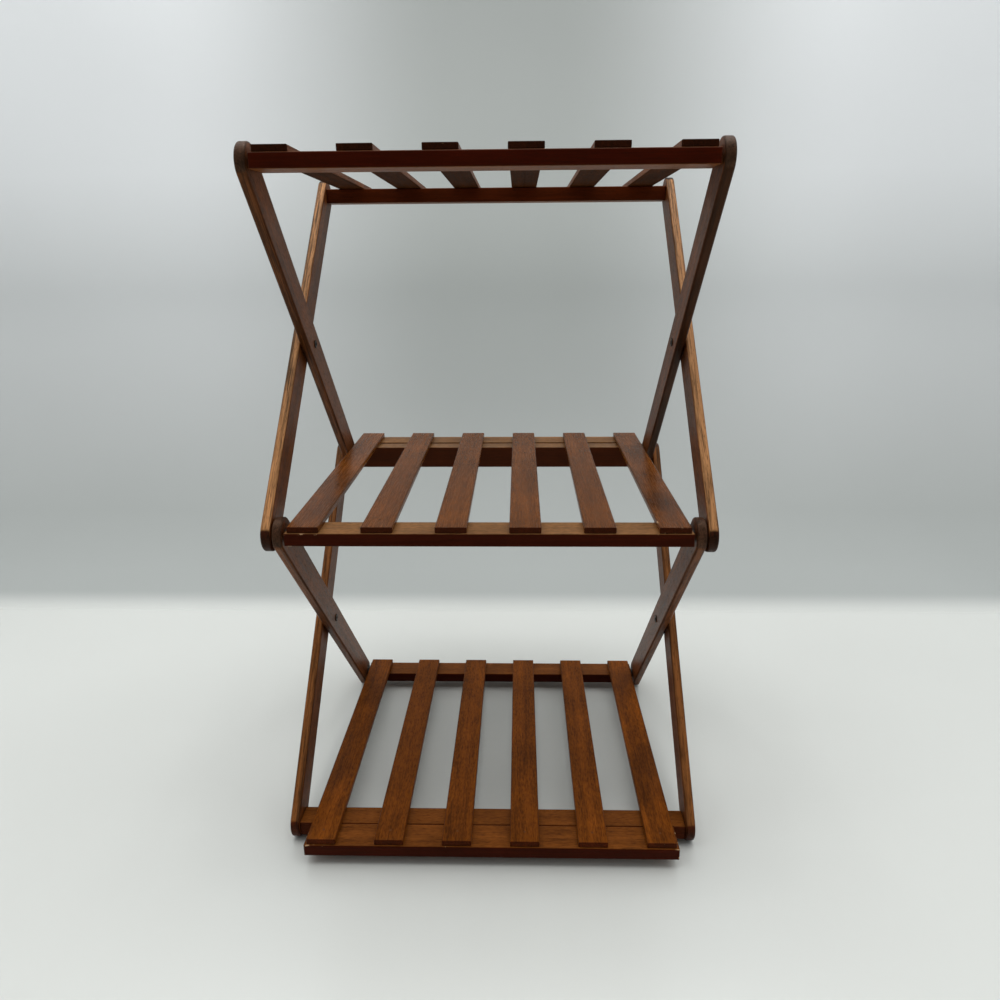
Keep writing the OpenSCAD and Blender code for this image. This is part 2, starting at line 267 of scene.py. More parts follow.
def stain_colour(tree, grain, tones, tone):
    """Stain over the grain: tones are the colours of the faces, of the edges and of the end grain."""
    mixed = 0.0
    for mark, share in FINE_GRAIN:
        mixed = add(tree, "ShaderNodeMath", {0: getattr(grain, mark), 1: share, 2: mixed},
                    operation="MULTIPLY_ADD")
    fine = add(tree, "ShaderNodeMapRange", {
        0: mixed, 1: 0.38, 2: 0.62, 3: 1 - 0.4 * tones["lively"], 4: 1 + 0.45 * tones["lively"]})
    # The edges of the legs were sawn along the fibres, which leaves them more streaked than their faces
    sawn = add(tree, "ShaderNodeMix", {0: 0.4, 2: grain.sawn, 3: grain.streaks}, data_type="FLOAT")
    coarse = add(tree, "ShaderNodeMapRange", {
        0: sawn, 1: 0.42, 2: 0.58, 3: 1 - tones["streaked"], 4: 1 + tones["streaked"]})
    spread = add(tree, "ShaderNodeMix", {0: grain.edge, 2: fine, 3: coarse}, data_type="FLOAT")
    blotch = add(tree, "ShaderNodeMapRange", {
        0: grain.blotches, 1: 0.3, 2: 0.7, 3: 1 - tones["patchy"], 4: 1 + tones["patchy"]})
    level = add(tree, "ShaderNodeMath", {0: spread, 1: blotch}, operation="MULTIPLY")
    # Painted shade: where the surface faces down, it is painted darker
    rub_and_underside_shade = add(tree, "ShaderNodeMapRange", {0: grain.below, 3: tone, 4: tone * (1 - tones["below"])})
    level = add(tree, "ShaderNodeMath", {0: level, 1: rub_and_underside_shade}, operation="MULTIPLY")
    colour = add(tree, "ShaderNodeMix", {0: grain.edge, 6: tones["face"], 7: tones["edge"]},
                 data_type="RGBA")
    colour = add(tree, "ShaderNodeMix", {0: grain.end, 6: colour, 7: tones["end"]}, data_type="RGBA")
    colour = add(tree, "ShaderNodeVectorMath", {0: colour, 3: level}, operation="SCALE")
    pored = add(tree, "ShaderNodeMath", {0: grain.pores, 1: 0.5}, operation="MULTIPLY")
    colour = add(tree, "ShaderNodeMix", {0: pored, 6: colour, 7: tones["pore"]}, data_type="RGBA")
    # Painted shade on the rounded arrises, together with stain that gathers there: both draw them toward the
    # pore colour
    arris_shade_and_pooling = add(tree, "ShaderNodeMath", {0: grain.arris, 1: tones["arris_shade_and_pooling"]}, operation="MULTIPLY")
    return add(tree, "ShaderNodeMix", {0: arris_shade_and_pooling, 6: colour, 7: tones["pore"]}, data_type="RGBA")


def stained_rubberwood(board, seed, tones, finish, chips):
    """Rubberwood, stained walnut and sealed with a thin satin lacquer. The stain is even but lets the
    streaks and open pores show, end grain drinks more of it and turns nearly black, and the lacquer gives
    soft reflections. Chips is how much of the arrises near the ends is knocked off, from 0 to 1."""
    material, tree, output = new_material(f"stained_rubberwood_{board.node}")
    grain = wood_grain(tree, board, seed, finish)
    tone = 1.0 + TONE_SPREAD * math.sin(seed * TONE_SHUFFLE)
    colour = stain_colour(tree, grain, tones, tone)
    # Chips of bare wood where an edge was knocked
    worn = add(tree, "ShaderNodeMapRange", {0: grain.off_middle, 1: 0.75, 2: 0.95, 4: 0.16 * chips})
    worn = add(tree, "ShaderNodeMath", {0: grain.wear, 1: worn})
    knocked = add(tree, "ShaderNodeMapRange", {0: worn, 1: 0.74, 2: 0.78})
    knocked = add(tree, "ShaderNodeMath", {0: knocked, 1: grain.arris}, operation="MULTIPLY")
    colour = add(tree, "ShaderNodeMix", {0: knocked, 6: colour, 7: tones["bare"]}, data_type="RGBA")
    even = finish.lacquer_roughness * tones["dull"]
    rough = add(tree, "ShaderNodeMapRange", {
        0: grain.fibres, 1: 0.3, 2: 0.7, 3: even - 0.05, 4: even + 0.09})
    rough = add(tree, "ShaderNodeMath", {0: grain.pores, 1: 0.2, 2: rough}, operation="MULTIPLY_ADD")
    rough = add(tree, "ShaderNodeMath", {0: grain.below, 1: 0.6 * tones["below"], 2: rough},
                operation="MULTIPLY_ADD")
    relief = add(tree, "ShaderNodeMath", {0: grain.pores, 1: -0.8, 2: grain.fibres},
                 operation="MULTIPLY_ADD")
    normal = add(tree, "ShaderNodeBump", {"Height": relief, "Strength": 0.35, "Distance": finish.pore_depth})
    surface = add(tree, "ShaderNodeBsdfPrincipled", {
        "Base Color": colour,
        "Roughness": rough,
        "Normal": normal,
        "IOR": 1.5,
        "Specular IOR Level": finish.lacquer * tones["sheen"],
        "Specular Tint": (*finish.lacquer_tint, 1.0),
    })
    tree.links.new(surface.outputs[0], output.inputs["Surface"])
    return material


def wood_tones(finish, face, edge=None, end=None, arris_shade_and_pooling=0.3, lively=1.0, streaked=0.18, below=0.0,
               patchy=0.18, sheen=1.0, dull=1.0):
    """Colours of a kind of board, and how it took the stain and the lacquer. From 0 to 1, pooled is how dark
    its arrises are painted, partly for stain that gathers there and partly as painted shade on the rounded
    edges, streaked is the contrast of the grain on its edges, patchy is how blotchy its colour is, and below
    is how much darker and duller its underside is, the darkness being painted shade under the board. Against
    other boards' 1, lively is the contrast of the grain on its faces, sheen is how much of the lacquer lies
    over it, and dull is how rough that lacquer is."""
    return {
        "face": (*face, 1.0),
        "edge": (*(edge or face), 1.0),
        "end": (*(end or finish.end_grain), 1.0),
        "pore": (*finish.pore_colour, 1.0),
        "bare": (*finish.bare_wood, 1.0),
        "arris_shade_and_pooling": arris_shade_and_pooling,
        "lively": lively,
        "streaked": streaked,
        "below": below,
        "patchy": patchy,
        "sheen": sheen,
        "dull": dull,
    }


# ---- Metal and nylon ----

def axis_distance(tree, axis_at):
    """Distance from a line along X, in metres, for round fittings that lie on it."""
    coordinates = add(tree, "ShaderNodeTexCoord")
    place = add(tree, "ShaderNodeMapping", {"Vector": coordinates.outputs["Object"], "Location": axis_at},
                vector_type="TEXTURE")
    flat = add(tree, "ShaderNodeVectorMath", {0: place, 1: (0.0, 1.0, 1.0)}, operation="MULTIPLY")
    return place, add(tree, "ShaderNodeVectorMath", {0: flat}, operation="LENGTH")


def metal(name, axis_at, base, tarnish, roughness, metallic=1.0, painted_shade_within=0.0):
    """A turned or stamped metal fitting on a line along X, with faint rings of its tool and patches of
    tarnish, which is a hex colour. Within a hollow of this radius it is black: painted shade."""
    material, tree, output = new_material(name)
    place, radius = axis_distance(tree, axis_at)
    # Turning marks are about 0.1 mm apart on the real ones, and are drawn 0.35 mm apart
    ringing = add(tree, "ShaderNodeMath", {0: radius, 1: 2 * math.pi / (0.35 * MM)}, operation="MULTIPLY")
    rings = add(tree, "ShaderNodeMath", {0: ringing}, operation="SINE")
    patches = add(tree, "ShaderNodeTexNoise", {"Vector": place, "Scale": 420.0, "Detail": 4.0})
    patchy = add(tree, "ShaderNodeMapRange", {0: patches, 1: 0.42, 2: 0.66})
    colour = add(tree, "ShaderNodeMix", {0: patchy, 6: (*base, 1.0), 7: linear(tarnish)}, data_type="RGBA")
    # Painted shade: black within the hollow's radius
    if painted_shade_within:
        hollow = add(tree, "ShaderNodeMapRange", {0: radius, 1: painted_shade_within, 2: painted_shade_within + 0.25 * MM,
                                                  3: 1.0, 4: 0.0})
        colour = add(tree, "ShaderNodeMix", {0: hollow, 6: colour, 7: linear("#120d0a")}, data_type="RGBA")
    rough = add(tree, "ShaderNodeMapRange", {0: patches, 1: 0.3, 2: 0.7, 3: roughness - 0.08,
                                             4: roughness + 0.14})
    normal = add(tree, "ShaderNodeBump", {"Height": rings, "Strength": 0.12, "Distance": 0.03 * MM})
    surface = add(tree, "ShaderNodeBsdfPrincipled", {
        "Base Color": colour, "Roughness": rough, "Normal": normal, "Metallic": metallic})
    tree.links.new(surface.outputs[0], output.inputs["Surface"])
    return material


def moulded_nylon(name, axis_at):
    """Black nylon, injection moulded: a matt grain and a slightly paler rub around the rim."""
    material, tree, output = new_material(name)
    place, radius = axis_distance(tree, axis_at)
    # Moulded grit is about 0.05 mm, and is drawn near 0.3 mm
    grit = add(tree, "ShaderNodeTexNoise", {"Vector": place, "Scale": 1 / (0.3 * MM), "Detail": 2.0})
    rub_and_underside_shade = add(tree, "ShaderNodeMapRange", {0: radius, 1: 4.2 * MM, 2: 5.0 * MM, 3: 0.0, 4: 0.5})
    colour = add(tree, "ShaderNodeMix", {0: rub_and_underside_shade, 6: linear("#17140f"), 7: linear("#2b2622")},
                 data_type="RGBA")
    rough = add(tree, "ShaderNodeMapRange", {0: grit, 1: 0.3, 2: 0.7, 3: 0.42, 4: 0.6})
    normal = add(tree, "ShaderNodeBump", {"Height": grit, "Strength": 0.2, "Distance": 0.05 * MM})
    surface = add(tree, "ShaderNodeBsdfPrincipled", {
        "Base Color": colour, "Roughness": rough, "Normal": normal, "IOR": 1.53})
    tree.links.new(surface.outputs[0], output.inputs["Surface"])
    return material


def wax_filler():
    """Brown wax filler over the brads: soft, a little duller and greyer than the wood round it."""
    material, tree, output = new_material("brown_wax_filler")
    coordinates = add(tree, "ShaderNodeTexCoord")
    smears = add(tree, "ShaderNodeTexNoise", {"Vector": coordinates.outputs["Object"],
                                              "Scale": 1 / (1.5 * MM), "Detail": 3.0})
    colour = add(tree, "ShaderNodeMix", {0: smears, 6: linear("#532c10"), 7: linear("#6d3f1a")},
                 data_type="RGBA")
    rough = add(tree, "ShaderNodeMapRange", {0: smears, 1: 0.3, 2: 0.7, 3: 0.55, 4: 0.72})
    normal = add(tree, "ShaderNodeBump", {"Height": smears, "Strength": 0.25, "Distance": 0.05 * MM})
    surface = add(tree, "ShaderNodeBsdfPrincipled", {
        "Base Color": colour, "Roughness": rough, "Normal": normal, "IOR": 1.44, "Specular IOR Level": 0.15})
    tree.links.new(surface.outputs[0], output.inputs["Surface"])
    return material


def iron_stain():
    """Black iron stain, where rust of a bare brad met the wood's tannin: soaked in, matt and blotchy."""
    material, tree, output = new_material("black_iron_stain")
    coordinates = add(tree, "ShaderNodeTexCoord")
    soaked = add(tree, "ShaderNodeTexNoise", {"Vector": coordinates.outputs["Object"],
                                              "Scale": 1 / (0.6 * MM), "Detail": 2.0})
    colour = add(tree, "ShaderNodeMix", {0: soaked, 6: linear("#140b06"), 7: linear("#2a170c")},
                 data_type="RGBA")
    rough = add(tree, "ShaderNodeMapRange", {0: soaked, 1: 0.3, 2: 0.7, 3: 0.65, 4: 0.85})
    surface = add(tree, "ShaderNodeBsdfPrincipled", {
        "Base Color": colour, "Roughness": rough, "IOR": 1.45, "Specular IOR Level": 0.1})
    tree.links.new(surface.outputs[0], output.inputs["Surface"])
    return material


# ---- Settings that a user would change ----

def colour_setting(name, description, hex_code):
    """A colour that a user can change, and the hex colour that it starts from."""
    return bpy.props.FloatVectorProperty(
        name=name, description=description, subtype="COLOR", default=linear(hex_code)[:3], min=0.0, max=1.0)


class StandFinish(bpy.types.PropertyGroup):
    leg_stain: colour_setting(
        "Leg Stain", "Colour of the wide faces of the legs", "#5c3113")
    inner_edge_stain: colour_setting(
        "Inner Leg Edge Stain", "Colour of the inner legs' narrow edges", "#5a3216")
    darkest_edge_stain: colour_setting(
        "Darkest Leg Edge Stain", "Colour of the upper right inner leg's narrow edges", "#301708")
    lower_edge_stain: colour_setting(
        "Lower Leg Edge Stain", "Colour of the lower outer legs' narrow edges", "#6c4120")
    upper_edge_stain: colour_setting(
        "Upper Leg Edge Stain", "Pale colour of the upper outer legs' narrow edges", "#906540")
    leg_end_grain: colour_setting(
        "Leg End Grain", "Colour of the inner legs' round ends", "#3e281c")
    outer_leg_end_grain: colour_setting(
        "Outer Leg End Grain", "Nearly black colour of the upper outer legs' round ends", "#280e05")
    rail_stain: colour_setting(
        "Rail Stain", "Colour of the rails and cross bars", "#6a3a13")
    pale_rail_stain: colour_setting(
        "Pale Rail Stain", "Paler colour of the middle shelf's rails and bar", "#845b35")
    # The front and rear faces of the rails are painted darker than their tops: partly a darker stain, partly
    # painted shade on these upright faces
    rail_edge_stain: colour_setting(
        "Rail Edge Stain", "Darker colour of the rails' front and rear faces", "#390c02")
    # The same for the cross bars: partly a darker stain, partly painted shade on their upright faces
    bar_edge_stain_and_shade: colour_setting(
        "Bar Edge Stain", "Colour of the cross bars' front and rear faces", "#4a1b06")
    slat_stain: colour_setting(
        "Slat Stain", "Colour of the middle shelf's slats", "#633610")
    warm_slat_stain: colour_setting(
        "Warm Slat Stain", "Warmer colour of the bottom and top shelves' slats", "#6b370a")
    bottom_slat_end: colour_setting(
        "Bottom Slat Ends", "Colour of the bottom shelf's slat ends", "#4a1b05")
    top_slat_end: colour_setting(
        "Top Slat Ends", "Dark colour of the top shelf's slat ends", "#301206")
    end_grain: colour_setting(
        "End Grain", "Colour of other end grain, which takes more stain than the faces", "#3c1607")
    pore_colour: colour_setting(
        "Pores", "Colour of stain caught in the pores", "#2c1306")
    bare_wood: colour_setting(
        "Bare Wood", "Colour of the wood where an edge is chipped", "#c8a27a")
    pore_length: bpy.props.FloatProperty(
        name="Pore Length", description="Length of a pore along the grain", unit="LENGTH",
        default=8 * MM, min=1 * MM, max=30 * MM)
    pore_pitch: bpy.props.FloatProperty(
        name="Pore Spacing", description="Distance between pores across the grain", unit="LENGTH",
        default=1.3 * MM, min=0.3 * MM, max=5 * MM)
    pore_depth: bpy.props.FloatProperty(
        name="Pore Depth", description="Depth of the grain's relief", unit="LENGTH",
        default=0.12 * MM, min=0.0, max=1 * MM)
    lacquer: bpy.props.FloatProperty(
        name="Lacquer", description="How much of the satin lacquer lies over the wood",
        subtype="FACTOR", default=0.14, min=0.0, max=1.0)
    lacquer_tint: colour_setting(
        "Lacquer Tint", "Amber cast that the lacquer gives its reflections", "#ffe2bf")
    lacquer_roughness: bpy.props.FloatProperty(
        name="Roughness", description="Roughness of the sealed wood", subtype="FACTOR",
        default=0.4, min=0.05, max=1.0)


class StandFittings(bpy.types.PropertyGroup):
    filler_radius: bpy.props.FloatProperty(
        name="Filler Radius", description="Radius of a dab of filler over a brad", unit="LENGTH",
        default=1.2 * MM, min=0.8 * MM, max=3 * MM)
    filler_crown: bpy.props.FloatProperty(
        name="Filler Crown", description="Height of a dab of filler above the slat", unit="LENGTH",
        default=0.08 * MM, min=0.0, max=0.5 * MM)
    iron_stain_radius: bpy.props.FloatProperty(
        name="Iron Stain Radius", description="Radius of the black stain round the brad left bare",
        unit="LENGTH", default=1.0 * MM, min=0.8 * MM, max=3 * MM)
    zinc: colour_setting("Zinc", "Colour of the zinc plated screws", "#c4c0b8")
    brass: colour_setting("Brass", "Colour of the aged brass rivets", "#3e2e1e")
    steel: colour_setting("Steel", "Colour of the steel washers", "#8f8b84")
    brad_steel: colour_setting("Brads", "Colour of the blackened steel brads", "#1c1612")


class StandStudio(bpy.types.PropertyGroup):
    floor_colour: colour_setting("Floor", "Colour of the floor", "#d4d6d2")
    wall_colour: colour_setting("Wall", "Colour of the backdrop", "#a9adab")
    # Painted light: the backdrop is painted this paler colour high up at its sides
    wall_side_colour: colour_setting(
        "Wall Sides", "Paler colour of the backdrop high up at its sides", "#f3f6f8")
    overhead_power: bpy.props.FloatProperty(
        name="Overhead Power", description="Power of the large light overhead", unit="POWER",
        default=55.5, min=0.0, max=500.0)
    panel_power: bpy.props.FloatProperty(
        name="Panel Power", description="Power of the smaller panel overhead", unit="POWER",
        default=15.3, min=0.0, max=500.0)
    overhead_height: bpy.props.FloatProperty(
        name="Overhead Height", description="Height of both lights above the floor", unit="LENGTH",
        default=2.5, min=0.8, max=5.0)
    lens: bpy.props.FloatProperty(
        name="Lens", description="Focal length of the camera on a 36 mm sensor", unit="CAMERA",
        default=27.61, min=10.0, max=200.0)
    camera_at: bpy.props.FloatVectorProperty(
        name="Camera Place", description="Where the camera stands", subtype="TRANSLATION",
        unit="LENGTH", default=(0.0275, -0.7895, 0.55))
    camera_yaw: bpy.props.FloatProperty(
        name="Yaw", description="Turn of the camera from straight ahead, to the left",
        subtype="ANGLE", default=math.radians(1.53))
    camera_pitch: bpy.props.FloatProperty(
        name="Pitch", description="Dip of the camera below level", subtype="ANGLE",
        default=math.radians(17.03))
    camera_roll: bpy.props.FloatProperty(
        name="Roll", description="Turn of the camera about its line of sight", subtype="ANGLE",
        default=math.radians(-0.43))


# ---- Wood ----

# Boards whose ends were knocked, and how much of their arrises there is chipped, from 0 to 1
KNOCKED = {"bottom_hook_rail": 1.0, "middle_pivot_rail": 0.8, "middle_slat_6": 0.7}
DARKEST_LEG = "upper_inner_leg_right"
# The seed of the first board of each kind, far enough apart that no two boards have the same grain
FIRST_SEED = {
    "inner_leg": 1, "darkest_leg": 4, "lower_outer_leg": 5, "upper_outer_leg": 7,
    "dark_bar": 21, "pale_bar": 25, "dark_rail": 31, "pale_rail": 38, "slat": 41,
}


def stain_board(board, seed, tones, finish):
    """Gives a board its own stained wood, with chipped ends if it was knocked."""
    material = stained_rubberwood(board, seed, tones, finish, KNOCKED.get(board.node, 0.0))
    give(frame["nodes"][board.node], material)


def stain_kind(kind, boards, tones, finish):
    """Stains the boards of one kind."""
    for seed, board in enumerate(boards, FIRST_SEED[kind]):
        stain_board(board, seed, tones, finish)


def middle_and_others(boards):
    """Parts the boards of the middle shelf, which are given paler colours, from the others."""
    middle = [board for board in boards if board.node.startswith("middle")]
    return middle, [board for board in boards if board not in middle]


class StainLegs(bpy.types.Operator):
    """Stains the eight legs. The outer ones' narrow edges are paler, and one inner leg's are darkest"""
    bl_idname = "ladder_stand.stain_legs"
    bl_label = "Stain Legs"

    def execute(self, context):
        finish = context.scene.stand_finish
        inner = wood_tones(finish, finish.leg_stain, finish.inner_edge_stain, finish.leg_end_grain,
                           arris_shade_and_pooling=0.75, lively=1.8, streaked=0.55)
        darkest = wood_tones(finish, finish.leg_stain, finish.darkest_edge_stain, finish.leg_end_grain,
                             arris_shade_and_pooling=0.75, lively=1.8, streaked=0.4)
        lower = wood_tones(finish, finish.leg_stain, finish.lower_edge_stain,
                           arris_shade_and_pooling=0.5, lively=1.8, streaked=0.6)
        upper = wood_tones(finish, finish.leg_stain, finish.upper_edge_stain, finish.outer_leg_end_grain,
                           lively=1.8, streaked=0.7)
        for kind, tones in (("inner_leg", inner), ("lower_outer_leg", lower), ("upper_outer_leg", upper)):
            legs = [board for board in LEGS if kind in board.node and board.node != DARKEST_LEG]
            stain_kind(kind, legs, tones, finish)
        stain_kind("darkest_leg", [board for board in LEGS if board.node == DARKEST_LEG], darkest, finish)
        return {"FINISHED"}


class StainBars(bpy.types.Operator):
    """Stains the three cross bars"""
    bl_idname = "ladder_stand.stain_bars"
    bl_label = "Stain Cross Bars"

    def execute(self, context):
        finish = context.scene.stand_finish
        middle, others = middle_and_others(BARS)
        # Their front and rear faces are painted darker, partly as painted shade
        dark = wood_tones(finish, finish.rail_stain, finish.bar_edge_stain_and_shade, sheen=0.5)
        pale = wood_tones(finish, finish.pale_rail_stain, finish.bar_edge_stain_and_shade)
        stain_kind("dark_bar", others, dark, finish)
        stain_kind("pale_bar", middle, pale, finish)
        return {"FINISHED"}


class StainRails(bpy.types.Operator):
    """Stains the six shelf rails. Two of the front ones have knocked ends"""
    bl_idname = "ladder_stand.stain_rails"
    bl_label = "Stain Shelf Rails"

    def execute(self, context):
        finish = context.scene.stand_finish
        middle, others = middle_and_others(RAILS)
        # Their front and rear faces are painted darker, partly as painted shade
        dark = wood_tones(finish, finish.rail_stain, finish.rail_edge_stain, sheen=0.5)
        pale = wood_tones(finish, finish.pale_rail_stain, finish.rail_edge_stain, sheen=0.5)
        stain_kind("dark_rail", others, dark, finish)
        stain_kind("pale_rail", middle, pale, finish)
        return {"FINISHED"}


class StainSlats(bpy.types.Operator):
    """Stains the eighteen slats, no two alike"""
    bl_idname = "ladder_stand.stain_slats"
    bl_label = "Stain Slats"

    def execute(self, context):
        finish = context.scene.stand_finish
        # The middle shelf's slats have the smoothest lacquer, so they mirror the legs softly
        kinds = {
            "bottom": dict(face=finish.warm_slat_stain, end=finish.bottom_slat_end, lively=1.3, sheen=0.5),
            "middle": dict(face=finish.slat_stain, sheen=0.4, dull=0.6),
            "top": dict(face=finish.warm_slat_stain, end=finish.top_slat_end, lively=1.3, sheen=0.5),
        }
        for seed, board in enumerate(SLAT_BOARDS, FIRST_SEED["slat"]):
            shelf = board.node.split("_")[0]
            # The outer slats, beside the legs, are given stronger blotches
            patchy = 0.36 if board.node.endswith(("_1", "_6")) else 0.15
            # Their undersides get painted shade and a duller lacquer
            tones = wood_tones(finish, below=0.65, patchy=patchy, **kinds[shelf])
            stain_board(board, seed, tones, finish)
        return {"FINISHED"}


# ---- Fittings ----

PIVOT_AT = {
    "bottom_bar_screws": (0, JOINTS["upper_outer_fold"].y, JOINTS["bottom_shelf_lift"].z),
    "top_bar_screws": (0, -JOINTS["top_shelf_lift"].y, JOINTS["top_shelf_lift"].z),
    "rear_pivot_screws": (0, -JOINTS["middle_shelf_lift"].y, JOINTS["middle_shelf_lift"].z),
    "bottom_pivot_screws": JOINTS["bottom_shelf_lift"],
    "middle_pivot_screws": JOINTS["middle_shelf_lift"],
    "top_pivot_screws": JOINTS["top_shelf_lift"],
}
RIVET_HOLLOW_RADIUS = 2.3 * MM


class PlateScrews(bpy.types.Operator):
    """Gives the six pairs of countersunk screws their zinc plating"""
    bl_idname = "ladder_stand.plate_screws"
    bl_label = "Plate Screws"

    def execute(self, context):
        fittings = context.scene.stand_fittings
        # Zinc plated steel: a soft cool shine with a faint yellow passivated cast in patches
        for node, place in PIVOT_AT.items():
            material = metal(f"zinc_plated_steel_{node}", place, fittings.zinc, "#a49a7e", 0.32)
            give(frame["nodes"][node], material)
        return {"FINISHED"}


class AgeRivets(bpy.types.Operator):
    """Gives the crossing rivets their aged brass, and painted shade in the hollow of their rolled ends"""
    bl_idname = "ladder_stand.age_rivets"
    bl_label = "Age Rivets"

    def execute(self, context):
        fittings = context.scene.stand_fittings
        # Aged brass under brown oxide, nearly black in patches, with painted shade in the hollow where the
        # tube is open
        for node, place in (
            ("lower_crossing_rivets", JOINTS["fold"]),
            ("upper_crossing_rivets", JOINTS["upper_inner_fold"]),
        ):
            material = metal(f"aged_brass_{node}", place, fittings.brass, "#150f0a", 0.55,
                             metallic=0.5, painted_shade_within=RIVET_HOLLOW_RADIUS)
            give(frame["nodes"][node], material)
        return {"FINISHED"}


class DullWashers(bpy.types.Operator):
    """Gives the washers between the legs their dull stamped steel"""
    bl_idname = "ladder_stand.dull_washers"
    bl_label = "Dull Washers"

    def execute(self, context):
        fittings = context.scene.stand_fittings
        # Stamped steel, dulled and a little oiled: grey with brown patches
        for node, place in (
            ("lower_crossing_washers", JOINTS["fold"]),
            ("upper_crossing_washers", JOINTS["upper_inner_fold"]),
            ("front_pivot_washers", JOINTS["middle_shelf_lift"]),
            ("rear_pivot_washers", PIVOT_AT["rear_pivot_screws"]),
        ):
            material = metal(f"stamped_steel_{node}", place, fittings.steel, "#5c5048", 0.45)
            give(frame["nodes"][node], material)
        return {"FINISHED"}


class MouldSpacers(bpy.types.Operator):
    """Gives the spacers beside the shelf rails their black moulded nylon"""
    bl_idname = "ladder_stand.mould_spacers"
    bl_label = "Mould Spacers"

    def execute(self, context):
        for shelf in SHELVES:
            place = JOINTS[f"{shelf}_shelf_lift"]
            material = moulded_nylon(f"moulded_nylon_{shelf}", place)
            give(frame["nodes"][f"{shelf}_pivot_spacers"], material)
        return {"FINISHED"}


class SetBrads(bpy.types.Operator):
    """Gives the brads their blackened steel"""
    bl_idname = "ladder_stand.set_brads"
    bl_label = "Set Brads"

    def execute(self, context):
        fittings = context.scene.stand_fittings
        # Bare steel wire, blackened by the tannin in the stain, so that only a dark dot shows
        for shelf in SHELVES:
            place = JOINTS[f"{shelf}_shelf_lift"]
            material = metal(f"blackened_steel_wire_{shelf}_brads", place, fittings.brad_steel,
                             "#0e0a08", 0.6)
            give(frame["nodes"][f"{shelf}_brads"], material)
        return {"FINISHED"}


PLUG_DEPTH = 0.35 * MM
IRON_STAIN_CROWN = 0.03 * MM
# Share of a dab's radius over which its crown rises, and its length along the grain to its width
CROWN_RIM = 0.45
DAB_LENGTH = 1.25
# The slat whose front brad got no filler, and is the dark dot there
BARE_BRAD_SLAT = "middle_slat_2"


def only(obj):
    """Makes obj the only selected object, and the active one."""
    bpy.ops.object.select_all(action="DESELECT")
    obj.select_set(True)
    bpy.context.view_layer.objects.active = obj


def pick_faces(obj, wanted):
    """In edit mode, selects the faces for which wanted(face) holds, and nothing else."""
    bpy.ops.mesh.select_all(action="DESELECT")
    mesh = bmesh.from_edit_mesh(obj.data)
    for face in mesh.faces:
        if wanted(face):
            face.select_set(True)
    bmesh.update_edit_mesh(obj.data)


def filler_dab(radius, crown, plug_radius, plug_depth):
    """One dab of filler at the origin: a low crown on the slat, and the plug below it in the brad's hole."""
    bpy.ops.object.select_all(action="DESELECT")
    bpy.ops.mesh.primitive_circle_add(vertices=16, radius=radius, fill_type="NGON")
    dab = bpy.context.object
    bpy.ops.object.mode_set(mode="EDIT")
    bpy.ops.mesh.select_mode(type="FACE")
    bpy.ops.mesh.extrude_region_move(TRANSFORM_OT_translate={"value": (0, 0, crown / 2)})
    bpy.ops.mesh.inset(thickness=radius * CROWN_RIM)
    bpy.ops.transform.translate(value=(0, 0, crown / 2))
    pick_faces(dab, lambda face: face.calc_center_median().z < crown / 8 and abs(face.normal.z) > 0.9)
    bpy.ops.mesh.inset(thickness=radius - plug_radius)
    bpy.ops.mesh.extrude_region_move(TRANSFORM_OT_translate={"value": (0, 0, -plug_depth)})
    bpy.ops.mesh.select_all(action="SELECT")
    bpy.ops.mesh.normals_make_consistent(inside=False)
    # A thumb pushes the wax along the grain, so the dab is a little longer than wide
    bpy.ops.transform.resize(value=(1.0, DAB_LENGTH, 1.0))
    bpy.ops.object.mode_set(mode="OBJECT")
    bpy.ops.object.shade_smooth_by_angle(angle=math.radians(35))
    return dab


class FillBrads(bpy.types.Operator):
    """Puts a dab of wax filler over every brad but one, whose bare steel has stained the wood black"""
    bl_idname = "ladder_stand.fill_brads"
    bl_label = "Fill Brads"

    def execute(self, context):
        fittings = context.scene.stand_fittings
        wax = wax_filler()
        for shelf in SHELVES:
            boards = [board for board in SLAT_BOARDS if board.node.startswith(shelf)]
            low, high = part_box(f"{shelf}_brads")
            hole = high.x - max(board.middle.x for board in boards)
            places = [(board, y) for board in boards for y in (low.y + hole, high.y - hole)]
            missed = [(board, y) for board, y in places if board.node == BARE_BRAD_SLAT and y < 0]
            filled = [place for place in places if place not in missed]
            dab = filler_dab(fittings.filler_radius, fittings.filler_crown, hole, PLUG_DEPTH)
            self.lay(dab, filled, f"{shelf}_brad_fillers", shelf, wax)
            if missed:
                stain = filler_dab(fittings.iron_stain_radius, IRON_STAIN_CROWN, hole, PLUG_DEPTH)
                self.lay(stain, missed, f"{shelf}_missed_brad_stain", shelf, iron_stain())
        return {"FINISHED"}

    def lay(self, dab, places, name, shelf, material):
        """Puts copies of the dab at these places as one piece of the shelf."""
        copies = [self.set_down(dab, board, y) for board, y in places]
        bpy.data.objects.remove(dab)
        self.join(copies, name)
        give(bpy.context.object, material)
        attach(bpy.context.object, f"{shelf}_shelf")

    def set_down(self, dab, board, y):
        """Lays a copy of the dab on top of the board, over the brad at this Y."""
        up = board.through if board.through.z > 0 else -board.through
        along = board.along * ((y - board.middle.y) / board.along.y)
        only(dab)
        bpy.ops.object.duplicate()
        copy = bpy.context.object
        copy.location = board.middle + up * board.half[2] + along
        copy.rotation_euler = Matrix((up.cross(board.along) * -1, board.along, up)).transposed().to_euler()
        return copy

    def join(self, pieces, name):
        """Makes one piece of several, with its place in its mesh."""
        only(pieces[0])
        for piece in pieces:
            piece.select_set(True)
        if len(pieces) > 1:
            bpy.ops.object.join()
        bpy.context.object.name = name
        bpy.ops.object.transform_apply(location=True, rotation=True, scale=True)


# ---- Studio ----

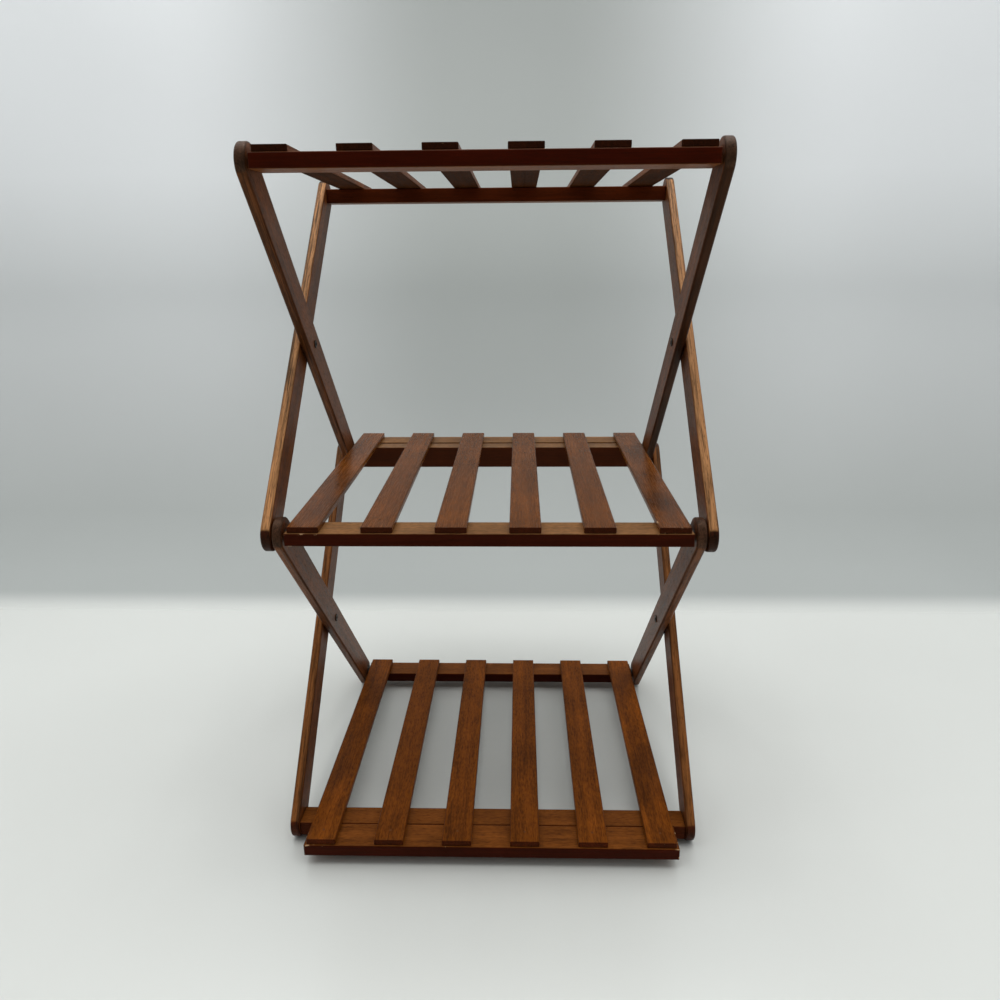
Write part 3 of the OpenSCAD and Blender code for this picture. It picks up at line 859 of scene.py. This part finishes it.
def studio_material(studio):
    """Polished pale floor and matt backdrop in one sweep: the floor takes a soft reflection and the backdrop
    none. The backdrop lies on the floor behind the stand; up its wall it is painted paler high up at its
    sides and in a band level with the upper tier, as painted light."""
    # Places are in metres, and shades are against the backdrop's own colour
    backdrop_from, backdrop_whole = 0.36, 0.46
    band_foot, band_middle, band_head = 0.2, 0.7, 1.2
    foot_shade, middle_shade, head_drop = 0.92, 1.27, 0.3
    material, tree, output = new_material("polished_floor_and_matt_backdrop")
    coordinates = add(tree, "ShaderNodeTexCoord")
    parts = add(tree, "ShaderNodeSeparateXYZ", {0: coordinates.outputs["Object"]})
    backdrop = add(tree, "ShaderNodeMapRange", {
        0: parts.outputs["Y"], 1: backdrop_from, 2: backdrop_whole}, **SMOOTH)
    # Painted light: the backdrop is painted paler high up at its sides
    sideways = add(tree, "ShaderNodeMath", {0: parts.outputs["X"]}, operation="ABSOLUTE")
    sides = add(tree, "ShaderNodeMapRange", {0: sideways, 1: 0.1, 2: 0.75}, **SMOOTH)
    high = add(tree, "ShaderNodeMapRange", {0: parts.outputs["Z"], 1: 0.05, 2: 0.75})
    paler = add(tree, "ShaderNodeMath", {0: sides, 1: high}, operation="MULTIPLY")
    # Painted light: a soft paler band across the backdrop, level with the upper tier
    painted_light_band = add(tree, "ShaderNodeMapRange", {
        0: parts.outputs["Z"], 1: band_foot, 2: band_middle, 3: foot_shade, 4: middle_shade}, **SMOOTH)
    painted_light_band_top = add(tree, "ShaderNodeMapRange", {
        0: parts.outputs["Z"], 1: band_middle, 2: band_head, 4: head_drop}, **SMOOTH)
    painted_light_band = add(tree, "ShaderNodeMath", {0: painted_light_band, 1: painted_light_band_top}, operation="SUBTRACT")
    clouds = add(tree, "ShaderNodeTexNoise", {"Vector": coordinates.outputs["Object"], "Scale": 1.5})
    shade = add(tree, "ShaderNodeMapRange", {0: clouds, 1: 0.3, 2: 0.7, 3: 0.97, 4: 1.03})
    plain = add(tree, "ShaderNodeVectorMath", {0: (*studio.wall_colour,), 3: painted_light_band}, operation="SCALE")
    colour = add(tree, "ShaderNodeMix", {0: paler, 6: plain, 7: (*studio.wall_side_colour, 1.0)},
                 data_type="RGBA")
    colour = add(tree, "ShaderNodeMix", {0: backdrop, 6: (*studio.floor_colour, 1.0), 7: colour},
                 data_type="RGBA")
    colour = add(tree, "ShaderNodeVectorMath", {0: colour, 3: shade}, operation="SCALE")
    floor_roughness, backdrop_roughness = 0.22, 0.9
    rough = add(tree, "ShaderNodeMapRange", {0: backdrop, 3: floor_roughness, 4: backdrop_roughness})
    surface = add(tree, "ShaderNodeBsdfPrincipled", {"Base Color": colour, "Roughness": rough, "IOR": 1.5})
    tree.links.new(surface.outputs[0], output.inputs["Surface"])
    return material


class BuildStudio(bpy.types.Operator):
    """Builds the floor and backdrop, the overhead light and the soft surroundings"""
    bl_idname = "ladder_stand.build_studio"
    bl_label = "Build Studio"

    def execute(self, context):
        studio = context.scene.stand_studio
        context.scene.view_settings.view_transform = "Standard"
        self.sweep(studio)
        self.light(studio)
        self.surroundings(context, studio)
        return {"FINISHED"}

    def sweep(self, studio):
        width, depth, wall_y, wall_height, curve = 12.0, 4.6, 1.05, 2.6, 0.5
        bpy.ops.object.select_all(action="DESELECT")
        bpy.ops.mesh.primitive_plane_add(size=1.0, location=(0, wall_y - depth / 2, 0))
        sweep = bpy.context.object
        sweep.name = "studio_sweep"
        sweep.scale = (width, depth, 1.0)
        bpy.ops.object.transform_apply(location=True, rotation=True, scale=True)
        bpy.ops.object.mode_set(mode="EDIT")
        bpy.ops.mesh.select_mode(type="EDGE")
        self.pick_edge(sweep, wall_y, 0.0)
        bpy.ops.mesh.extrude_region_move(TRANSFORM_OT_translate={"value": (0, 0, wall_height)})
        self.pick_edge(sweep, wall_y, 0.0)
        bpy.ops.mesh.bevel(offset=curve, offset_type="OFFSET", segments=24, affect="EDGES")
        bpy.ops.object.mode_set(mode="OBJECT")
        bpy.ops.object.shade_smooth()
        give(sweep, studio_material(studio))

    def pick_edge(self, obj, y, z):
        """Selects the one edge that runs along X at this place."""
        bpy.ops.mesh.select_all(action="DESELECT")
        mesh = bmesh.from_edit_mesh(obj.data)
        near = 1e-4
        for edge in mesh.edges:
            if all(abs(v.co.y - y) < near and abs(v.co.z - z) < near for v in edge.verts):
                edge.select_set(True)
        bmesh.update_edit_mesh(obj.data)

    def light(self, studio):
        """A wide soft light overhead, and a small panel in its middle that gives the shadows some shape."""
        for name, width, depth, power in (
            ("overhead_light", 6.0, 1.9, studio.overhead_power),
            ("overhead_panel", 0.9, 0.45, studio.panel_power),
        ):
            bpy.ops.object.light_add(type="AREA", location=(0, 0.1, studio.overhead_height))
            light = bpy.context.object
            light.name = name
            light.data.shape = "RECTANGLE"
            light.data.size = width
            light.data.size_y = depth
            light.data.energy = power

    def surroundings(self, context, studio):
        """A room that is bright above, behind and at the sides, and dim in front. What the camera and shiny
        surfaces see of it is paler and more even."""
        # How much light comes from the front and the rear, and what overhead and the sides add to it
        front_light, rear_light, overhead_light, side_light = 0.04, 0.28, 0.24, 0.59
        seen_front, seen_rear = 0.45, 0.5
        world = bpy.data.worlds.new("soft_surroundings")
        context.scene.world = world
        world.use_nodes = True
        tree = world.node_tree
        tree.nodes.clear()
        output = tree.nodes.new("ShaderNodeOutputWorld")
        direction = add(tree, "ShaderNodeTexCoord").outputs["Generated"]
        parts = add(tree, "ShaderNodeSeparateXYZ", {0: direction})
        rear = add(tree, "ShaderNodeMapRange", {0: parts.outputs["Y"], 1: -0.9, 2: 0.5}, **SMOOTH)
        above = add(tree, "ShaderNodeMapRange", {0: parts.outputs["Z"], 2: 0.8}, **SMOOTH)
        sideways = add(tree, "ShaderNodeMath", {0: parts.outputs["X"]}, operation="ABSOLUTE")
        sides = add(tree, "ShaderNodeMapRange", {0: sideways, 1: 0.4, 2: 0.9}, **SMOOTH)
        light = add(tree, "ShaderNodeMapRange", {0: rear, 3: front_light, 4: rear_light})
        for where, extra in ((above, overhead_light), (sides, side_light)):
            light = add(tree, "ShaderNodeMath", {0: where, 1: extra, 2: light}, operation="MULTIPLY_ADD")
        seen = add(tree, "ShaderNodeMapRange", {0: rear, 3: seen_front, 4: seen_rear})
        path = add(tree, "ShaderNodeLightPath")
        looked = path.outputs["Is Camera Ray"]
        for ray in ("Is Glossy Ray", "Is Transmission Ray"):
            looked = add(tree, "ShaderNodeMath", {0: looked, 1: path.outputs[ray]}, operation="MAXIMUM")
        strength = add(tree, "ShaderNodeMix", {0: looked, 2: light, 3: seen}, data_type="FLOAT")
        background = add(tree, "ShaderNodeBackground", {"Color": linear("#f3f6f6"), "Strength": strength})
        tree.links.new(background.outputs[0], output.inputs["Surface"])


class PlaceCamera(bpy.types.Operator):
    """Places the camera in front of the stand, a little above the middle shelf"""
    bl_idname = "ladder_stand.place_camera"
    bl_label = "Place Camera"

    def execute(self, context):
        studio = context.scene.stand_studio
        turn = (Matrix.Rotation(studio.camera_yaw, 3, "Z")
                @ Matrix.Rotation(math.pi / 2 - studio.camera_pitch, 3, "X")
                @ Matrix.Rotation(studio.camera_roll, 3, "Z"))
        bpy.ops.object.camera_add(location=studio.camera_at, rotation=turn.to_euler())
        camera = bpy.context.object
        camera.data.sensor_width = 36.0
        camera.data.lens = studio.lens
        context.scene.camera = camera
        return {"FINISHED"}


class LadderStandPanel(bpy.types.Panel):
    """Lists the steps that finish the stand, in order"""
    bl_idname = "VIEW3D_PT_ladder_stand"
    bl_label = "Folding Ladder Stand"
    bl_space_type = "VIEW_3D"
    bl_region_type = "UI"
    bl_category = "Ladder Stand"

    def draw(self, context):
        scene = context.scene
        for settings in (scene.stand_finish, scene.stand_fittings, scene.stand_studio):
            box = self.layout.box()
            for name in settings.__annotations__:
                box.prop(settings, name)
        for step in STEPS:
            self.layout.operator(step.bl_idname)


STEPS = (StainLegs, StainBars, StainRails, StainSlats, PlateScrews, AgeRivets, DullWashers,
         MouldSpacers, SetBrads, FillBrads, BuildStudio, PlaceCamera)
GROUPS = (StandFinish, StandFittings, StandStudio)


def register():
    for cls in (*GROUPS, *STEPS, LadderStandPanel):
        bpy.utils.register_class(cls)
    bpy.types.Scene.stand_finish = bpy.props.PointerProperty(type=StandFinish)
    bpy.types.Scene.stand_fittings = bpy.props.PointerProperty(type=StandFittings)
    bpy.types.Scene.stand_studio = bpy.props.PointerProperty(type=StandStudio)


def unregister():
    del bpy.types.Scene.stand_studio
    del bpy.types.Scene.stand_fittings
    del bpy.types.Scene.stand_finish
    for cls in reversed((*GROUPS, *STEPS, LadderStandPanel)):
        bpy.utils.unregister_class(cls)


def main():
    register()
    steps = bpy.ops.ladder_stand
    steps.stain_legs()
    steps.stain_bars()
    steps.stain_rails()
    steps.stain_slats()
    steps.plate_screws()
    steps.age_rivets()
    steps.dull_washers()
    steps.mould_spacers()
    steps.set_brads()
    steps.fill_brads()
    steps.build_studio()
    steps.place_camera()


if __name__ == "__main__":
    main()
